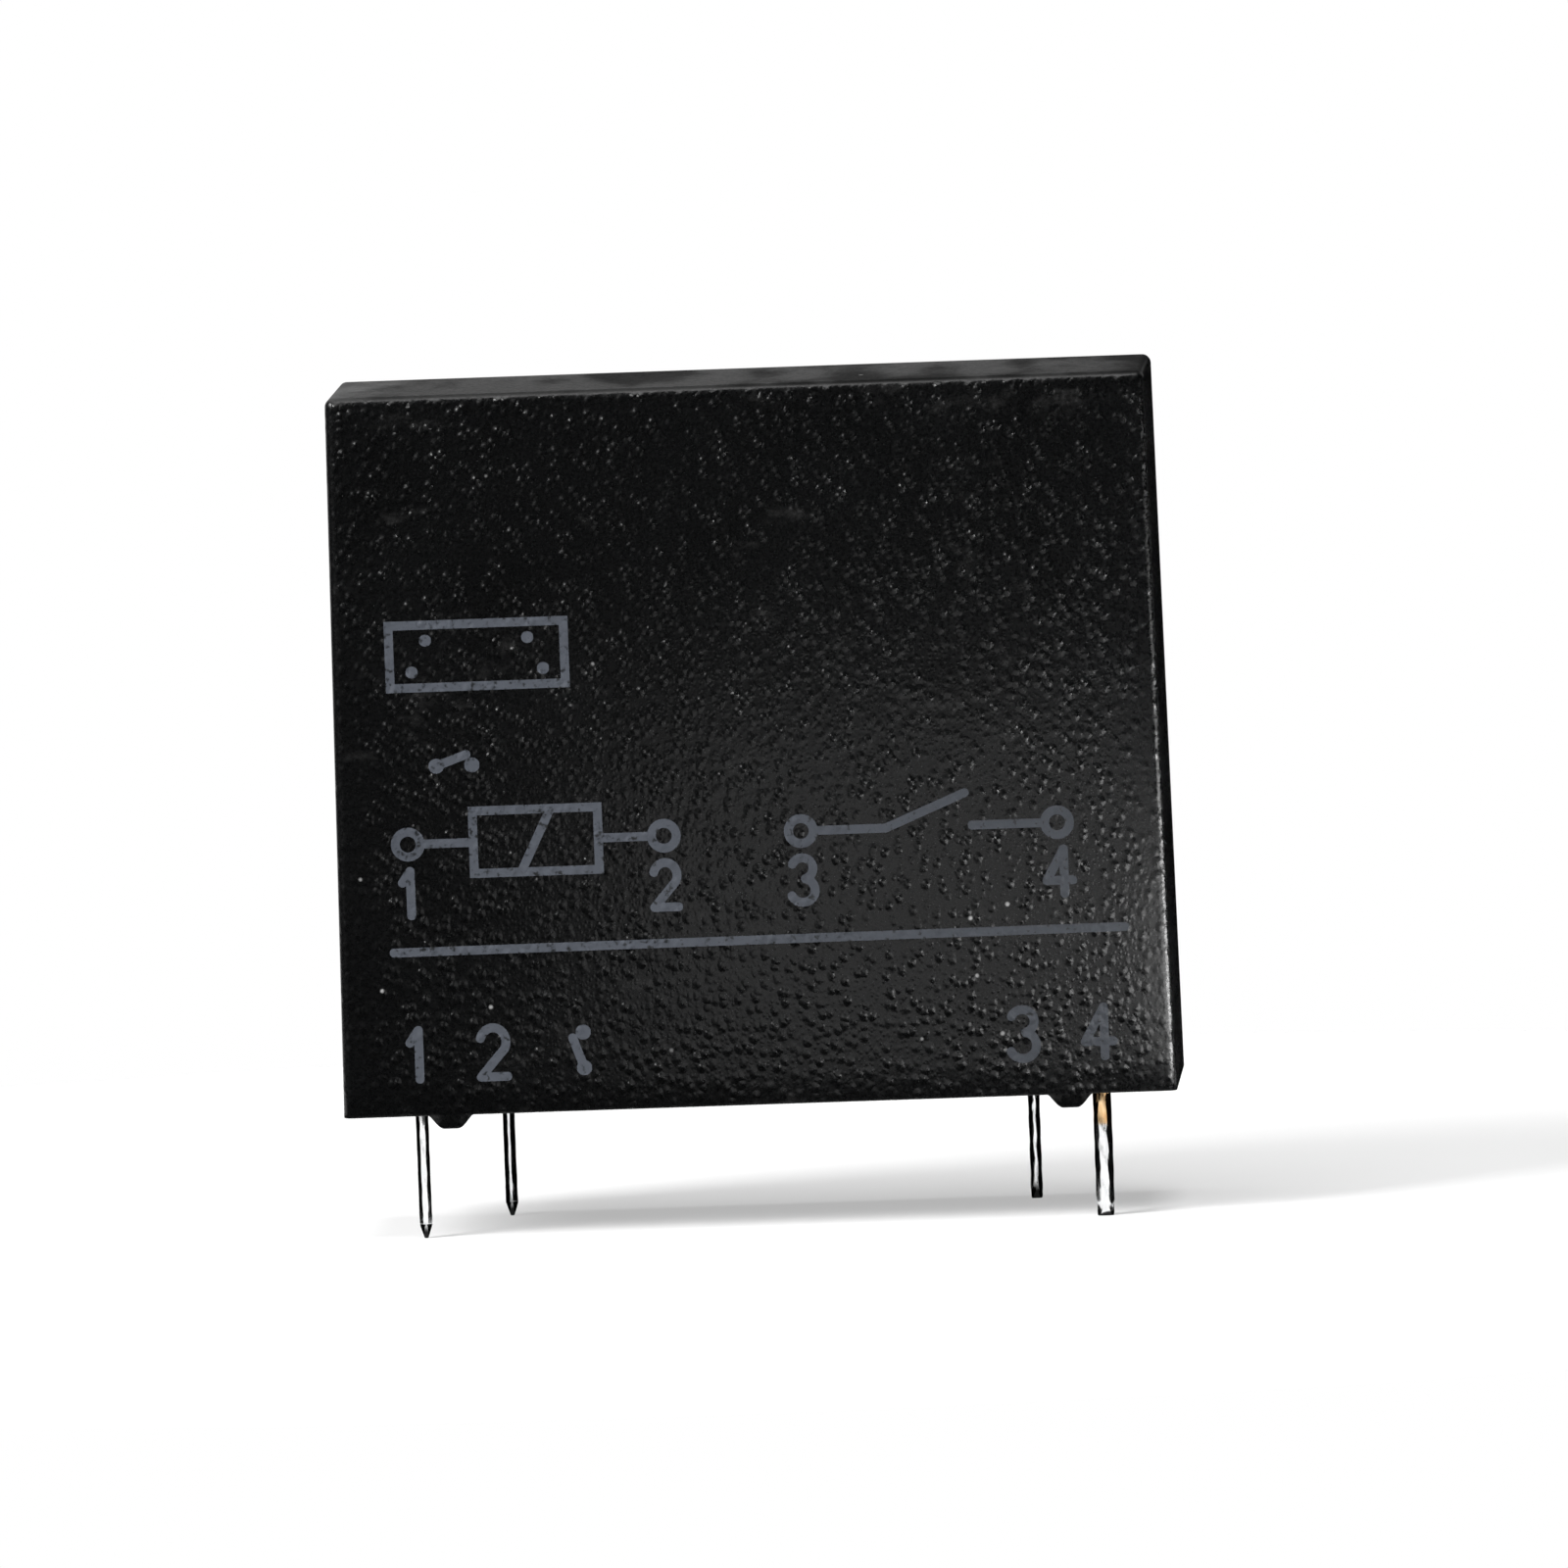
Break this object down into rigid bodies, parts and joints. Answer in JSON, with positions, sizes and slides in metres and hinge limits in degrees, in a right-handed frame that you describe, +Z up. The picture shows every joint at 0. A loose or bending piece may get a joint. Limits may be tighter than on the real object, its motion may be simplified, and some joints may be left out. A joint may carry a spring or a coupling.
{
  "type": "pcb power relay",
  "caption": "Slim upright sealed power relay for a printed circuit board, with a hinged armature, a sliding card and a normally open contact inside a black moulded case on pin terminals.",
  "frame": {"origin": "middle of the board plane that the stand-off feet rest on", "axes": "+X along the case from the coil end to the contact end, +Y from the front face to the back face, +Z up from the board to the roof"},
  "size_m": [0.028, 0.01, 0.0283],
  "materials": {
    "case_plastic": "black moulded plastic with a fine spark-eroded grain",
    "base_plastic": "dark grey moulded plastic",
    "resin": "smooth cast resin",
    "bobbin_plastic": "natural moulded plastic",
    "copper_wire": "enamelled copper wire",
    "soft_iron": "nickel-plated soft iron",
    "spring_bronze": "rolled spring bronze",
    "rivet_metal": "plain steel rivet",
    "contact_silver": "silver alloy",
    "tinned_pin": "bright tin plating",
    "terminal_copper": "copper alloy strip, tinned at its pin"
  },
  "bodies": {
    "case": {"cover": "case_plastic", "base": "base_plastic", "sealing_resin": "resin", "bobbin": "bobbin_plastic", "winding": "copper_wire", "core": "soft_iron", "yoke": "soft_iron", "armature_spring": "spring_bronze", "spring_rivets": "rivet_metal", "fixed_contact": "contact_silver", "moving_terminal": "tinned_pin", "fixed_terminal": "terminal_copper", "leaf_rivets": "rivet_metal", "coil_pin_front": "tinned_pin", "coil_pin_rear": "tinned_pin", "coil_lead_front": "copper_wire", "coil_lead_rear": "copper_wire"},
    "rocker": {"armature": "soft_iron"},
    "pusher": {"card": "bobbin_plastic"},
    "contact_arm": {"moving_spring": "spring_bronze", "moving_contact": "contact_silver"}
  },
  "joints": [
    {"name": "armature_swing", "type": "hinge", "parent": "case", "child": "rocker", "pos_m": [-0.00145, 0, 0.02015], "axis": [0, -1, 0], "range_deg": [0, 5.4], "stiffness_Nm_per_rad": 0.001, "springref_deg": -28.65},
    {"name": "card_slide", "type": "slide", "parent": "case", "child": "pusher", "axis": [1, 0, 0], "range_m": [0, 0.00055]},
    {"name": "contact_swing", "type": "hinge", "parent": "case", "child": "contact_arm", "pos_m": [0.00859, 0, 0.00897], "axis": [0, 1, 0], "range_deg": [0, 5.6], "deforming": ["moving_spring"]}
  ],
  "couplings": [
    {"joint": "card_slide", "follows": "armature_swing", "m_per_rad": 0.005737},
    {"joint": "contact_swing", "follows": "armature_swing", "ratio": 1.034}
  ]
}
